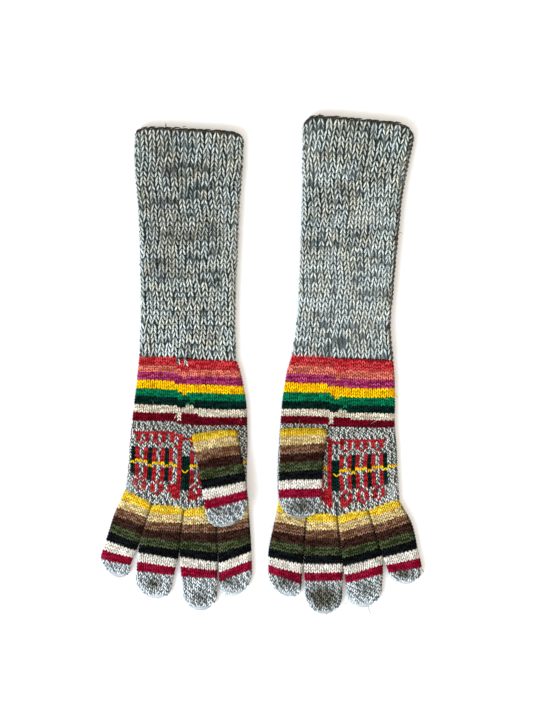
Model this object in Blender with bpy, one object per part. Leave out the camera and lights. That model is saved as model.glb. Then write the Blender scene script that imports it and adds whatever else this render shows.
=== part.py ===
"""A pair of long knitted wool gloves, laid flat with the palms up and the thumbs over the palms.

Frame: metres, +Z up. The gloves rest on z = 0, +Y runs from the fingertips to the cuffs, +X runs
from the left-hand glove to the right-hand glove, and the origin is the middle of the footprint.
The sizes below are millimetres. "down" is measured from the mouth of a cuff to the fingertips and
the other places are measured from the glove's own middle line.
"""
import math
from collections import namedtuple

import bmesh
import bpy
from mathutils import Matrix, Vector

MM = 0.001
SEAM_GAP = 0.3

# Thickness of one layer of the knitting in each kind of piece.
CUFF_WALL = 3.0
HAND_WALL = 2.2
FINGER_WALL = 2.0

# How far the upper layer rises above the folds, in the middle of a piece.
CROWN = 0.5

CUFF_RIBS = 14
CUFF_RIB_HEIGHT = 0.7
POINTS_PER_RIB = 4

# A bowed row is straight over most of its width and rounds off at its two corners.
CORNER_POWER = 10

FINGER_HEIGHT = 6.0
THUMB_HEIGHT = 5.8
# The thumb is turned down onto the palm round a line this far below its own underside.
THUMB_TURN_RADIUS = 0.3
THUMB_TURN_STEPS = 3
TIP_STEPS = (25, 50, 72)

# Points round a piece: along the flat underside, round each fold, and along the upper side.
Count = namedtuple("Count", "bottom fold top")
CUFF_COUNT = Count(10, 4, CUFF_RIBS * POINTS_PER_RIB)
HAND_COUNT = Count(8, 4, 20)
FINGER_COUNT = Count(4, 4, 6)
THUMB_COUNT = Count(5, 4, 8)

# One cross-section of a piece, from its left fold to its right fold.
Section = namedtuple("Section", "left left_down right right_down height bow")
# The line between two fingers, or the outer edge of the first and last finger.
Crease = namedtuple("Crease", "root_x root_down middle_x middle_down parting_x parting_down")
# Where a fingertip starts to round, and its outermost point.
Tip = namedtuple("Tip", "name left left_down right right_down tip_x tip_down")
Glove = namedtuple("Glove", "side x mouth_y cuff hand creases tips thumb")

LEFT_GLOVE = Glove(
    side="left",
    x=-64.5,
    mouth_y=214.5,
    cuff=(
        Section(-47.5, 6.5, 50.0, 11.5, 8.4, 6.5),
        Section(-48.0, 29.0, 49.5, 31.0, 8.4, 0.0),
        Section(-45.5, 59.0, 47.0, 60.5, 8.2, 0.0),
        Section(-43.5, 102.0, 45.0, 103.0, 8.2, 0.0),
        Section(-42.5, 146.0, 43.0, 147.0, 8.0, 0.0),
        Section(-42.5, 186.0, 42.5, 188.5, 7.8, 0.0),
        Section(-43.5, 207.0, 43.5, 210.0, 7.2, 0.0),
    ),
    hand=(
        Section(-43.5, 207.0, 43.5, 210.0, 6.6, 0.0),
        Section(-44.5, 215.0, 46.5, 218.5, 6.4, 0.0),
        Section(-46.0, 230.0, 50.0, 233.5, 6.4, 0.0),
        Section(-48.0, 247.0, 52.5, 250.0, 6.4, 0.0),
        Section(-50.5, 268.0, 53.5, 271.0, 6.4, 0.0),
        Section(-52.5, 289.0, 53.5, 290.0, 6.4, 0.0),
        Section(-53.5, 304.0, 53.0, 307.0, 6.4, 0.0),
        Section(-55.0, 317.0, 53.0, 323.0, 6.4, 0.0),
        Section(-57.0, 327.5, 54.5, 337.5, 6.4, 0.0),
    ),
    creases=(
        Crease(-57.0, 327.5, -66.5, 349.0, -72.0, 366.5),
        Crease(-32.5, 341.0, -38.5, 358.0, -43.5, 374.5),
        Crease(-3.0, 343.5, -5.5, 362.0, -7.5, 381.5),
        Crease(25.0, 343.0, 26.5, 363.5, 27.0, 387.0),
        Crease(54.5, 337.5, 56.0, 361.0, 57.5, 384.5),
    ),
    tips=(
        Tip("little", -79.0, 388.0, -51.5, 392.5, -63.5, 406.5),
        Tip("ring", -47.0, 407.0, -14.0, 410.5, -29.5, 425.5),
        Tip("middle", -4.5, 419.5, 26.5, 419.5, 11.5, 436.5),
        Tip("index", 28.0, 406.0, 58.0, 405.0, 42.5, 423.0),
    ),
    thumb=(
        Section(5.0, 276.5, 46.0, 272.5, THUMB_HEIGHT, 0.0),
        Section(10.0, 309.5, 50.5, 306.0, THUMB_HEIGHT, 0.0),
        Section(15.5, 341.0, 54.0, 337.5, THUMB_HEIGHT, 0.0),
        Tip("thumb", 15.5, 341.0, 54.0, 337.5, 35.0, 360.5),
    ),
)

RIGHT_GLOVE = Glove(
    side="right",
    x=80.5,
    mouth_y=223.5,
    cuff=(
        Section(-42.0, 10.0, 58.5, 19.0, 8.4, 12.0),
        Section(-42.0, 37.0, 54.5, 44.0, 8.4, 0.0),
        Section(-42.0, 67.0, 48.0, 73.5, 8.2, 0.0),
        Section(-43.0, 104.5, 44.5, 110.5, 8.2, 0.0),
        Section(-45.0, 145.0, 40.0, 150.0, 8.0, 0.0),
        Section(-47.5, 187.0, 37.0, 191.0, 7.8, 0.0),
        Section(-51.5, 215.0, 39.5, 219.0, 7.2, 0.0),
    ),
    hand=(
        Section(-51.5, 215.0, 39.5, 219.0, 6.6, 0.0),
        Section(-55.5, 227.0, 40.5, 230.5, 6.4, 0.0),
        Section(-58.0, 241.0, 41.0, 245.0, 6.4, 0.0),
        Section(-60.5, 257.5, 41.0, 260.5, 6.4, 0.0),
        Section(-62.0, 278.0, 41.0, 280.0, 6.4, 0.0),
        Section(-63.5, 298.0, 42.5, 297.0, 6.4, 0.0),
        Section(-64.5, 317.0, 43.0, 313.0, 6.4, 0.0),
        Section(-64.5, 333.0, 44.0, 329.5, 6.4, 0.0),
        Section(-64.0, 347.5, 45.0, 345.5, 6.4, 0.0),
    ),
    creases=(
        Crease(-64.0, 347.5, -68.5, 369.0, -73.5, 396.0),
        Crease(-38.0, 357.5, -39.5, 376.0, -41.0, 400.5),
        Crease(-11.0, 361.0, -8.0, 380.5, -5.5, 405.0),
        Crease(17.0, 353.5, 24.0, 376.0, 30.0, 396.5),
        Crease(45.0, 345.5, 56.0, 364.5, 61.5, 388.0),
    ),
    tips=(
        Tip("index", -72.5, 415.5, -43.0, 417.5, -59.0, 431.5),
        Tip("middle", -40.0, 426.5, -6.0, 429.5, -23.0, 448.5),
        Tip("ring", -2.0, 426.5, 29.5, 425.5, 13.0, 442.5),
        Tip("little", 34.5, 407.5, 65.0, 402.5, 52.5, 421.5),
    ),
    thumb=(
        Section(-62.0, 281.0, -20.0, 281.0, THUMB_HEIGHT, 0.0),
        Section(-63.0, 311.5, -21.5, 311.5, THUMB_HEIGHT, 0.0),
        Section(-63.5, 341.0, -24.5, 341.0, THUMB_HEIGHT, 0.0),
        Tip("thumb", -63.5, 341.0, -24.5, 341.0, -44.0, 362.0),
    ),
)

# The finish of each kind of piece: colour, roughness.
FINISHES = {
    "cuff": ((0.40, 0.42, 0.41), 0.92),
    "hand": ((0.44, 0.20, 0.16), 0.90),
    "little": ((0.20, 0.07, 0.05), 0.90),
    "ring": ((0.24, 0.16, 0.07), 0.90),
    "middle": ((0.55, 0.42, 0.22), 0.90),
    "index": ((0.10, 0.12, 0.05), 0.90),
    "thumb": ((0.70, 0.52, 0.05), 0.90),
}


def remove_old_objects():
    """Start from an empty scene."""
    for old in list(bpy.data.objects):
        bpy.data.objects.remove(old, do_unlink=True)


def wool_material(name, colour, roughness):
    """A plain matt wool of one colour."""
    material = bpy.data.materials.new(name)
    material.use_nodes = True
    shader = material.node_tree.nodes["Principled BSDF"]
    shader.inputs["Base Color"].default_value = (*colour, 1.0)
    shader.inputs["Roughness"].default_value = roughness
    shader.inputs["Metallic"].default_value = 0.0
    return material


def flattened_tube(half_width, height, wall, count, rib_height=0.0):
    """End view of a flattened tube, as (across, up) points.

    The underside is flat, both folds are half circles and the upper side is slightly crowned.
    A wall above zero gives the inner face of the same tube.
    """
    radius = height / 2 - wall
    half_flat = half_width - height / 2
    points = []
    for step in range(count.bottom + 1):
        points.append((half_flat * (2 * step / count.bottom - 1), wall))
    for step in range(1, count.fold):
        angle = math.pi * (step / count.fold - 0.5)
        points.append((half_flat + radius * math.cos(angle), height / 2 + radius * math.sin(angle)))
    for step in range(count.top + 1):
        share = 1 - 2 * step / count.top
        rib = rib_height * 0.5 * (1 - math.cos(2 * math.pi * step / POINTS_PER_RIB))
        points.append((half_flat * share, height - wall + CROWN * (1 - share * share) + rib))
    for step in range(1, count.fold):
        angle = math.pi * (step / count.fold + 0.5)
        points.append((-half_flat + radius * math.cos(angle), height / 2 + radius * math.sin(angle)))
    return points


def chord(section):
    """Middle, direction and half width of the line from a section's left fold to its right fold."""
    left = Vector((section.left, -section.left_down, 0.0))
    right = Vector((section.right, -section.right_down, 0.0))
    return (left + right) / 2, (right - left).normalized(), (right - left).length / 2


def laid_ring(section, wall, count, base=0.0, rib_height=0.0):
    """One ring of a piece that lies flat, with its underside at the height base."""
    middle, direction, half_width = chord(section)
    ring = []
    for across, up in flattened_tube(half_width, section.height, wall, count, rib_height):
        rise = section.bow * (1 - abs(across / half_width) ** CORNER_POWER)
        ring.append(middle + direction * across + Vector((0.0, rise, base + up)))
    return ring


def tip_rings(section, tip, wall, count, base=0.0):
    """Rings that close a finger, each the last full ring made smaller and moved to the tip."""
    middle, direction, half_width = chord(section)
    reach = Vector((tip.tip_x, -tip.tip_down, 0.0)) - middle
    reach *= 1 - wall / reach.length
    profile = flattened_tube(half_width, section.height, wall, count)
    half_height = section.height / 2
    rings = []
    for degrees in TIP_STEPS:
        narrow = math.cos(math.radians(degrees))
        centre = middle + reach * math.sin(math.radians(degrees))
        ring = []
        for across, up in profile:
            level = base + half_height + (up - half_height) * math.sqrt(narrow)
            ring.append(centre + direction * across * narrow + Vector((0.0, 0.0, level)))
        rings.append(ring)
    return rings


def add_ring(mesh, ring):
    """The vertices of one ring, in metres."""
    return [mesh.verts.new(point * MM) for point in ring]


def join_rings(mesh, first, second):
    """A band of faces between two rings with the same number of points."""
    total = len(first)
    for index in range(total):
        after = (index + 1) % total
        mesh.faces.new((first[index], first[after], second[after], second[index]))


def knitted_tube(name, kind, glove, outer, inner, closed):
    """One piece of knitting: outer and inner face, joined at each open end."""
    mesh = bmesh.new()
    outer_rings = [add_ring(mesh, ring) for ring in outer]
    inner_rings = [add_ring(mesh, ring) for ring in inner]
    for rings in (outer_rings, inner_rings):
        for first, second in zip(rings, rings[1:]):
            join_rings(mesh, first, second)
    join_rings(mesh, outer_rings[0], inner_rings[0])
    if closed:
        mesh.faces.new(outer_rings[-1])
        mesh.faces.new(inner_rings[-1])
    else:
        join_rings(mesh, outer_rings[-1], inner_rings[-1])
    bmesh.ops.recalc_face_normals(mesh, faces=mesh.faces)
    data = bpy.data.meshes.new(name)
    mesh.to_mesh(data)
    mesh.free()
    colour, roughness = FINISHES[kind]
    data.materials.append(wool_material(name + "_wool", colour, roughness))
    piece = bpy.data.objects.new(name, data)
    bpy.context.scene.collection.objects.link(piece)
    piece.location = (glove.x * MM, glove.mouth_y * MM, 0.0)
    return piece


def make_cuff(glove):
    """The long ribbed gauntlet, open at its mouth and at the wrist."""
    outer = [laid_ring(s, 0.0, CUFF_COUNT, rib_height=CUFF_RIB_HEIGHT) for s in glove.cuff]
    inner = [laid_ring(s, CUFF_WALL, CUFF_COUNT) for s in glove.cuff]
    return knitted_tube(glove.side + "_cuff", "cuff", glove, outer, inner, closed=False)


def finger_line(glove, x):
    """How far down the hand ends at x, along the line where the fingers are picked up."""
    creases = glove.creases
    for first, second in zip(creases, creases[1:]):
        if x <= second.root_x or second is creases[-1]:
            share = (x - first.root_x) / (second.root_x - first.root_x)
            return first.root_down + share * (second.root_down - first.root_down)


def hand_rings(glove, wall):
    """The rings of the hand, a seam's gap away from the cuff and from the fingers."""
    rings = [laid_ring(section, wall, HAND_COUNT) for section in glove.hand]
    for point in rings[0]:
        point.y -= SEAM_GAP
    for point in rings[-1]:
        point.y = SEAM_GAP - finger_line(glove, point.x)
    return rings


def make_hand(glove):
    """The striped wrist and the palm and back of the hand, knitted in one."""
    outer = hand_rings(glove, 0.0)
    inner = hand_rings(glove, HAND_WALL)
    hand = knitted_tube(glove.side + "_hand", "hand", glove, outer, inner, closed=False)
    cut_thumb_slit(hand, glove)
    return hand


def finger_sections(glove, index, tip):
    """A finger from its root on the hand to the place where its tip starts to round."""
    first = glove.creases[index]
    second = glove.creases[index + 1]
    half_gap = SEAM_GAP / 2
    places = (
        (first.root_x, first.root_down, second.root_x, second.root_down),
        (first.middle_x, first.middle_down, second.middle_x, second.middle_down),
        (first.parting_x, first.parting_down, second.parting_x, second.parting_down),
    )
    sections = []
    for left, left_down, right, right_down in places:
        sections.append(Section(left + half_gap, left_down, right - half_gap, right_down,
                                FINGER_HEIGHT, 0.0))
    sections.append(Section(tip.left, tip.left_down, tip.right, tip.right_down, FINGER_HEIGHT, 0.0))
    return sections


def make_finger(glove, index, tip):
    """One finger, open at its root and round at its tip."""
    sections = finger_sections(glove, index, tip)
    faces = []
    for wall in (0.0, FINGER_WALL):
        rings = [laid_ring(section, wall, FINGER_COUNT) for section in sections]
        faces.append(rings + tip_rings(sections[-1], tip, wall, FINGER_COUNT))
    name = glove.side + "_" + tip.name
    return knitted_tube(name, tip.name, glove, faces[0], faces[1], closed=True)


def thumb_base(glove):
    """Height of the face that the thumb lies on, with the gap above it."""
    return max(section.height for section in glove.hand[1:]) + CROWN + SEAM_GAP


def turned_ring(section, wall, angle, base):
    """A ring of the thumb's bend: at 0 it faces the palm, at a quarter turn it stands upright."""
    middle, direction, half_width = chord(section)
    towards_cuff = Vector((-direction.y, direction.x, 0.0))
    turn = middle - towards_cuff * (THUMB_TURN_RADIUS + section.height)
    ring = []
    for across, up in flattened_tube(half_width, section.height, wall, THUMB_COUNT):
        reach = THUMB_TURN_RADIUS + up
        lift = Vector((0.0, 0.0, base + reach * math.sin(angle)))
        ring.append(turn + direction * across + towards_cuff * reach * math.cos(angle) + lift)
    return ring


def make_thumb(glove):
    """The thumb, picked up from a slit in the palm and folded flat over it."""
    *sections, tip = glove.thumb
    base = thumb_base(glove)
    laid_base = base + THUMB_TURN_RADIUS
    faces = []
    for wall in (0.0, FINGER_WALL):
        rings = []
        for step in range(THUMB_TURN_STEPS + 1):
            angle = math.pi / 2 * step / THUMB_TURN_STEPS
            rings.append(turned_ring(sections[0], wall, angle, base))
        for section in sections[1:]:
            rings.append(laid_ring(section, wall, THUMB_COUNT, laid_base))
        rings += tip_rings(sections[-1], tip, wall, THUMB_COUNT, laid_base)
        faces.append(rings)
    return knitted_tube(glove.side + "_thumb", "thumb", glove, faces[0], faces[1], closed=True)


def cut_thumb_slit(hand, glove):
    """Open the palm under the thumb's mouth, as wide as the thumb is inside."""
    section = glove.thumb[0]
    middle, direction, half_width = chord(section)
    towards_cuff = Vector((-direction.y, direction.x, 0.0))
    centre = middle - towards_cuff * section.height / 2
    top = thumb_base(glove)
    centre.z = (section.height / 2 + top) / 2
    size = Vector((2 * (half_width - FINGER_WALL), section.height - 2 * FINGER_WALL,
                   top - section.height / 2))
    turn = Matrix.Rotation(math.atan2(direction.y, direction.x), 4, "Z")
    placed = Matrix.Translation(centre * MM) @ turn @ Matrix.Diagonal((*(size * MM), 1.0))
    mesh = bmesh.new()
    bmesh.ops.create_cube(mesh, size=1.0, matrix=placed)
    data = bpy.data.meshes.new(glove.side + "_slit")
    mesh.to_mesh(data)
    mesh.free()
    cutter = bpy.data.objects.new(glove.side + "_slit", data)
    bpy.context.scene.collection.objects.link(cutter)
    cutter.location = hand.location
    cutter.hide_render = True
    cutter.display_type = "WIRE"
    slit = hand.modifiers.new("thumb_slit", "BOOLEAN")
    slit.operation = "DIFFERENCE"
    slit.object = cutter


def centre_on_footprint(pieces):
    """Move both gloves together, so that the origin is the middle of the area they cover."""
    bpy.context.view_layer.update()
    corners = []
    for piece in pieces:
        corners += [piece.matrix_world @ vertex.co for vertex in piece.data.vertices]
    middle_x = (min(c.x for c in corners) + max(c.x for c in corners)) / 2
    middle_y = (min(c.y for c in corners) + max(c.y for c in corners)) / 2
    for thing in bpy.context.scene.objects:
        thing.location.x -= middle_x
        thing.location.y -= middle_y


def make_glove(glove):
    """All seven pieces of one glove."""
    pieces = [make_cuff(glove), make_hand(glove), make_thumb(glove)]
    for index, tip in enumerate(glove.tips):
        pieces.append(make_finger(glove, index, tip))
    return pieces


remove_old_objects()
all_pieces = make_glove(LEFT_GLOVE) + make_glove(RIGHT_GLOVE)
centre_on_footprint(all_pieces)
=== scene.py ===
# A pair of long hand-knitted wool gloves, laid flat with the palms up and the thumbs over the palms.
# Each leg of each stitch is a spindle of yarn of its own, over a shell of cloth with the piece's form.
import math
from collections import namedtuple

import bpy
import numpy as np
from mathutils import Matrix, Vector


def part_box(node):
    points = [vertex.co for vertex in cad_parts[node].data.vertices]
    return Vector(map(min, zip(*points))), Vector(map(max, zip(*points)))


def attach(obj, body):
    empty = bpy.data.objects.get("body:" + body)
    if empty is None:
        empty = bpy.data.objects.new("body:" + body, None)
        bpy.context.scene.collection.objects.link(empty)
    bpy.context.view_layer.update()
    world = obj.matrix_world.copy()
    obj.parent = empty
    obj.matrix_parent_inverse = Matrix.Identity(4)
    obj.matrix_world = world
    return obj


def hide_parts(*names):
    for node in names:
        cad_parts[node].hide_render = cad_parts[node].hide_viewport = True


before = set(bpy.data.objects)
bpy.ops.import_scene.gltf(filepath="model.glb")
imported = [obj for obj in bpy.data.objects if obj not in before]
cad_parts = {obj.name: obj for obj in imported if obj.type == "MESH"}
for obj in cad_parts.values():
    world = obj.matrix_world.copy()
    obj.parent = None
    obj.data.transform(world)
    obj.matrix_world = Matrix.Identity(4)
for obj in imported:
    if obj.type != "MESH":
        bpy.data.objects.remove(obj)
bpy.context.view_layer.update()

# The table, the light and the camera
# The gloves lie on a white table and are seen from straight above, through a long lens. The walls
# give most of the light, a cool window beyond the fingertips on the left and a weak warm one
# across from it the rest.


def linear(colour):
    """An sRGB hex colour as the linear values that a socket holds."""
    channels = [int(colour[place:place + 2], 16) / 255 for place in (1, 3, 5)]
    return [c / 12.92 if c <= 0.04045 else ((c + 0.055) / 1.055) ** 2.4 for c in channels] + [1.0]


def add_node(tree, kind, inputs=(), **settings):
    """A node with its settings. Each input is a value, or what links to it: another node's output,
    or the node itself for its first one."""
    node = tree.nodes.new("ShaderNode" + kind)
    for name, value in settings.items():
        setattr(node, name, value)
    for name, value in dict(inputs).items():
        if isinstance(value, bpy.types.Node):
            value = value.outputs[0]
        if isinstance(value, bpy.types.NodeSocket):
            tree.links.new(value, node.inputs[name])
        else:
            node.inputs[name].default_value = value
    return node


def new_material(name):
    """An empty material and its node tree."""
    material = bpy.data.materials.new(name)
    material.use_nodes = True
    material.node_tree.nodes.clear()
    return material, material.node_tree


# Half the table's width, and how far below the gloves it lies, so that no two faces touch.
TABLE_REACH = 4.0
TABLE_DROP = 0.0002

# Matt white lacquer: an even pale surface with no pattern and no reflection that shows.
matt_lacquer, tree = new_material("matt_white_lacquer")
lacquer = add_node(tree, "BsdfPrincipled", {
    "Base Color": linear("#f6f9ff"),
    "Roughness": 0.9,
    "IOR": 1.5,
    "Specular IOR Level": 0.1,
})
add_node(tree, "OutputMaterial", {"Surface": lacquer})

table_mesh = bpy.data.meshes.new("table")
table_mesh.from_pydata(
    [(x * TABLE_REACH, y * TABLE_REACH, -TABLE_DROP) for x, y in ((-1, -1), (1, -1), (1, 1), (-1, 1))],
    [],
    [(0, 1, 2, 3)],
)
table_mesh.materials.append(matt_lacquer)
table = bpy.data.objects.new("table", table_mesh)
bpy.context.scene.collection.objects.link(table)

WALLS_STRENGTH = 1.08
walls = bpy.data.worlds.new("pale_walls")
walls.use_nodes = True
background = walls.node_tree.nodes["Background"]
background.inputs["Color"].default_value = linear("#fff7e9")
background.inputs["Strength"].default_value = WALLS_STRENGTH
bpy.context.scene.world = walls


def add_window(name, place, size, power, colour):
    """A soft square lamp that faces the middle of the pair."""
    lamp = bpy.data.lights.new(name, "AREA")
    lamp.size = size
    lamp.energy = power
    lamp.color = linear(colour)[:3]
    window = bpy.data.objects.new(name, lamp)
    window.location = place
    window.rotation_euler = (-Vector(place)).to_track_quat("-Z", "Y").to_euler()
    bpy.context.scene.collection.objects.link(window)
    return window


add_window("window", (-1.6, -1.5, 1.7), 1.3, 62.0, "#dceaff")
add_window("far_window", (1.7, 1.2, 2.2), 1.4, 6.0, "#ffe9cf")

# The photograph's height in pixels, its scale, and the place on the table that is in its middle.
IMAGE_HEIGHT = 711
METRES_PER_PIXEL = 0.0009
LENS_MM, SENSOR_MM = 100.0, 36.0
VIEW_CENTRE = (0.0051, 0.0087)

lens = bpy.data.cameras.new("camera")
lens.lens = LENS_MM
lens.sensor_width = SENSOR_MM
lens.clip_end = 20.0
camera = bpy.data.objects.new("camera", lens)
camera.location = (*VIEW_CENTRE, IMAGE_HEIGHT * METRES_PER_PIXEL * LENS_MM / SENSOR_MM)
bpy.context.scene.collection.objects.link(camera)
bpy.context.scene.camera = camera
bpy.context.scene.view_settings.view_transform = "Standard"

# The cuffs
# Each is a long gauntlet in thick two-ply ragg wool, one white ply and one grey. It is knitted
# round from its mouth in plain stitches so heavy that they stand up as ribs.

MM = 0.001

# A line across a piece, from its left fold to its right fold, in millimetres in the glove's own
# frame: x from its middle line, "down" from the cuff's mouth towards the fingertips. bow is how
# much less far down its middle lies.
Across = namedtuple("Across", "left left_down right right_down height bow", defaults=(0.0,))
# Where a closed finger ends.
Tip = namedtuple("Tip", "x down")
# The shape of one piece. "hem" gives how much further down than its last line it ends, at x. The
# courses start to bend to it at hem_from, and hem_power is how late they do. "elbow" is how far
# the underside of a bent thumb's root lies from the line that it turns round.
Form = namedtuple("Form", "origin lines knots length tip reach elbow base crown hem hem_from "
                          "hem_power folds")

# How much a flattened tube swells in its middle, and how square the corners of a bowed mouth are.
CROWN = 0.5
CORNER_POWER = 10

CUFF_LINES = {
    "left": (
        Across(-47.5, 6.5, 50, 11.5, 8.4, 6.5),
        Across(-48, 29, 49.5, 31, 8.4, 2),
        Across(-45.5, 59, 47, 60.5, 8.2),
        Across(-43.5, 102, 45, 103, 8.2),
        Across(-42.5, 146, 43, 147, 8),
        Across(-42.5, 186, 42.5, 188.5, 7.8),
        Across(-43.5, 207, 43.5, 210, 7.2),
    ),
    "right": (
        Across(-42, 10, 58.5, 19, 8.4, 12),
        Across(-42, 37, 53, 44, 8.4, 5.5),
        Across(-42.5, 67, 47.4, 73.5, 8.2, 1.5),
        Across(-43.5, 104.5, 43.6, 110.5, 8.2),
        Across(-45, 145, 40, 150, 8),
        Across(-47.5, 187, 37, 191, 7.8),
        Across(-51.5, 215, 39.5, 219, 7.2),
    ),
}


def glove_origin(side):
    """Where a glove's own frame starts in the world, in millimetres, from its cuff's solid."""
    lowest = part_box(side + "_cuff")[0]
    lines = CUFF_LINES[side]
    left = min(line.left for line in lines)
    down = max(line.right_down for line in lines)
    return np.array((lowest[0] / MM - left, lowest[1] / MM + down, 0.0))


def make_form(side, lines, tip=None, elbow=None, base=0.0, crown=CROWN, hem=None, hem_from=0.0,
              hem_power=1.0):
    """The form of a flattened tube of knitting, through the given lines."""
    lines = np.array(lines, float)
    middles = np.column_stack(((lines[:, 0] + lines[:, 2]) / 2, (lines[:, 1] + lines[:, 3]) / 2))
    steps = np.hypot(*np.diff(middles, axis=0).T)
    knots = np.concatenate(([0.0], np.cumsum(steps)))
    reach = 0.0
    if tip is not None:
        reach = math.hypot(tip.x - middles[-1][0], tip.down - middles[-1][1])
    folds = () if elbow else FOLDS[side]
    return Form(glove_origin(side), lines, knots, knots[-1], tip, reach, elbow, base, crown, hem,
                hem_from, hem_power, folds)


# How far past its first and last line a piece may run, as a share of the step between two lines.
PAST_END = 0.2


def glide(knots, values, where):
    """Values at where, on one smooth curve through the values at the knots."""
    slopes = np.gradient(values, knots, axis=0)
    index = np.clip(np.searchsorted(knots, where, side="right") - 1, 0, len(knots) - 2)
    span = (knots[index + 1] - knots[index])[:, None]
    share = (where - knots[index])[:, None] / span
    share = np.clip(share, -PAST_END, 1 + PAST_END)
    start = values[index] * (2 * share**3 - 3 * share**2 + 1)
    start += slopes[index] * span * (share**3 - 2 * share**2 + share)
    end = values[index + 1] * (3 * share**2 - 2 * share**3)
    end += slopes[index + 1] * span * (share**3 - share**2)
    return start + end


def end_view(turn, half_width, height, inset, crown):
    """Across and up of points round a flattened tube, at even steps of its outer girth.

    turn 0 is the left fold, 0 to 0.5 the upper side and 0.5 to 1 the underside.
    """
    radius = height / 2
    half_flat = half_width - radius
    half_girth = 2 * half_flat + math.pi * radius
    upper = (turn % 1.0) < 0.5
    along = np.where(upper, turn % 1.0, 1.0 - turn % 1.0) * 2 * half_girth
    from_right = half_girth - along
    quarter = math.pi * radius / 2
    left_angle = np.clip(along / radius, 0, math.pi / 2)
    right_angle = np.clip(from_right / radius, 0, math.pi / 2)
    across = np.clip(along - quarter, 0, 2 * half_flat) - half_flat
    across = across - (radius - inset) * np.cos(left_angle) + (radius - inset) * np.cos(right_angle)
    rise = (radius - inset) * np.minimum(np.sin(left_angle), np.sin(right_angle))
    share = np.clip(across / half_flat, -1, 1)
    up = np.where(upper, radius + rise + crown * (1 - share**2), radius - rise)
    return across, up


# A soft trough in the knitting (a ridge when its depth is below zero), in the glove's own frame:
# its middle, which way it runs in degrees from straight across, and its size in millimetres.
Fold = namedtuple("Fold", "x down degrees half_length half_width depth")
FOLDS = {
    "left": (
        Fold(-22, 36, 8, 15, 3.2, 0.5),
        Fold(14, 72, -14, 24, 4, 0.7),
        Fold(-20, 103, 6, 17, 3, 0.6),
        Fold(24, 118, 4, 13, 2.6, 0.45),
        Fold(-4, 152, -4, 30, 4.5, 0.6),
        Fold(26, 184, 12, 11, 2.4, -0.4),
        Fold(-8, 208.5, -2, 40, 2.2, 0.7),
        Fold(-28, 246, 24, 14, 3, 0.4),
        Fold(0, 278, 78, 20, 2.4, 0.6),
        Fold(-30, 306, 18, 17, 3, 0.5),
    ),
    "right": (
        Fold(-20, 30, 2, 21, 3, 0.7),
        Fold(30, 58, 16, 15, 3.4, 0.5),
        Fold(-2, 76, -10, 19, 2.8, 0.75),
        Fold(-25, 112, 5, 12, 2.4, 0.5),
        Fold(17, 140, -6, 22, 4.2, 0.55),
        Fold(-14, 176, 9, 26, 3.6, 0.6),
        Fold(-6, 217, -3, 42, 2.2, 0.7),
        Fold(20, 251, -20, 13, 3, 0.4),
        Fold(-15, 292, 84, 23, 2.4, 0.6),
        Fold(18, 322, -14, 19, 3, 0.5),
    ),
}
# How much of a fold shows on the underside, and how far and over what run a fold wanders.
UNDERSIDE_SHARE = 0.6
WANDER_MM = 1.6
WANDER_RUN_MM = 6.0


def sink(folds, x, down):
    """How deep the folds press the knitting in, at points of the glove's own frame."""
    total = np.zeros_like(x)
    for fold in folds:
        angle = math.radians(fold.degrees)
        along = (x - fold.x) * math.cos(angle) + (down - fold.down) * math.sin(angle)
        aside = (down - fold.down) * math.cos(angle) - (x - fold.x) * math.sin(angle)
        aside = aside + WANDER_MM * np.sin(along / WANDER_RUN_MM)
        near = np.exp(-(along / fold.half_length) ** 4 - (aside / fold.half_width) ** 2)
        total = total + fold.depth * near
    return total


# How far over its round tip a closed tube is followed, where 1 would be the tip's very point.
TIP_END = 0.999


def lie(form, turn, down, inset):
    """Points on a piece, in millimetres in the world: turn round it, down along it, inset into it."""
    turn, down, inset = np.broadcast_arrays(turn, down, inset)
    shape = turn.shape
    turn, down, inset = turn.ravel(), down.ravel(), inset.ravel()
    bend = np.zeros_like(down)
    start = 0.0
    if form.elbow:
        outer = form.elbow + form.lines[0, 4]
        start = outer * math.pi / 2
        bend = np.clip(1 - down / start, 0, 1) * math.pi / 2
    along = down - start
    over = np.zeros_like(down)
    if form.tip:
        over = np.clip((along - form.length) / form.reach, 0, TIP_END)
        along = np.minimum(along, form.length)
    if form.elbow:
        along = np.maximum(along, 0.0)
    line = glide(form.knots, form.lines, along)
    middle = np.column_stack((line[:, 0] + line[:, 2], -line[:, 1] - line[:, 3])) / 2
    reach = np.column_stack((line[:, 2] - line[:, 0], line[:, 1] - line[:, 3]))
    half_width = np.hypot(reach[:, 0], reach[:, 1]) / 2
    direction = reach / (2 * half_width[:, None])
    across, up = end_view(turn, half_width, line[:, 4], inset, form.crown)
    narrow = np.sqrt(1 - over**2)
    half_height = line[:, 4] / 2
    up = half_height + (up - half_height) * np.sqrt(narrow)
    bow = line[:, 5] * (1 - np.abs(np.clip(across / half_width, -1, 1)) ** CORNER_POWER)
    place = middle + direction * (across * narrow)[:, None]
    if form.tip:
        last = form.lines[-1]
        way = np.array((form.tip.x - (last[0] + last[2]) / 2, (last[1] + last[3]) / 2 - form.tip.down))
        place = place + way * over[:, None] * (1 - inset / form.reach)[:, None]
    place[:, 1] += bow
    if form.hem is not None:
        ramp = np.clip((along - form.hem_from) / (form.length - form.hem_from), 0, 1 + PAST_END)
        place[:, 1] -= form.hem(place[:, 0]) * ramp**form.hem_power
    pressed = sink(form.folds, place[:, 0], -place[:, 1])
    up = np.where(up > half_height, up - pressed, up + UNDERSIDE_SHARE * pressed)
    level = form.base + up
    if form.elbow:
        towards_cuff = np.column_stack((-direction[:, 1], direction[:, 0]))
        place = place + towards_cuff * ((form.elbow + up) * np.sin(bend))[:, None]
        level = form.base + (form.elbow + up) * np.cos(bend)
    points = np.column_stack((place, level)) + form.origin
    return points.reshape(shape + (3,))


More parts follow.
